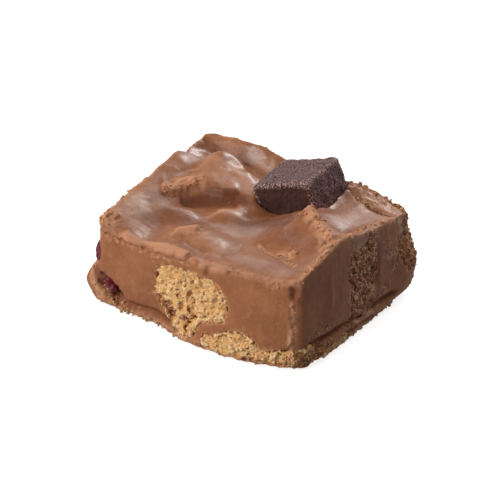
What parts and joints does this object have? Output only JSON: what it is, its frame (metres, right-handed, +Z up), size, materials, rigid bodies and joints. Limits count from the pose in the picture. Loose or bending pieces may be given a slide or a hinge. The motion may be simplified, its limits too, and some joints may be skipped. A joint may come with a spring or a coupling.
{
  "type": "rocky road",
  "caption": "Cut square of rocky road: a milk-chocolate slab with a lumpy poured top, set with biscuit, dried berries and a chunk of dark fudge.",
  "frame": {"origin": "middle of the footprint, on the surface that the square rests on", "axes": "+X along the long cut face, +Y from the front cut face to the back, +Z up"},
  "size_m": [0.0712, 0.0602, 0.0347],
  "materials": {
    "milk_chocolate": "milk chocolate: satin and softly glossy where it was poured, matte and scuffed where it was cut",
    "fudge": "dark, grainy chocolate fudge with rough cut faces",
    "biscuit": "baked golden crumb, porous and dry",
    "berry": "dried dark red berry, wrinkled and slightly shiny"
  },
  "bodies": {
    "root": {"chocolate_block": "milk_chocolate", "dark_chunk": "fudge", "biscuit_front": "biscuit", "biscuit_base": "biscuit", "biscuit_side": "biscuit", "biscuit_back": "biscuit", "biscuit_left": "biscuit", "berry_corner": "berry", "berry_left": "berry"}
  },
  "joints": []
}
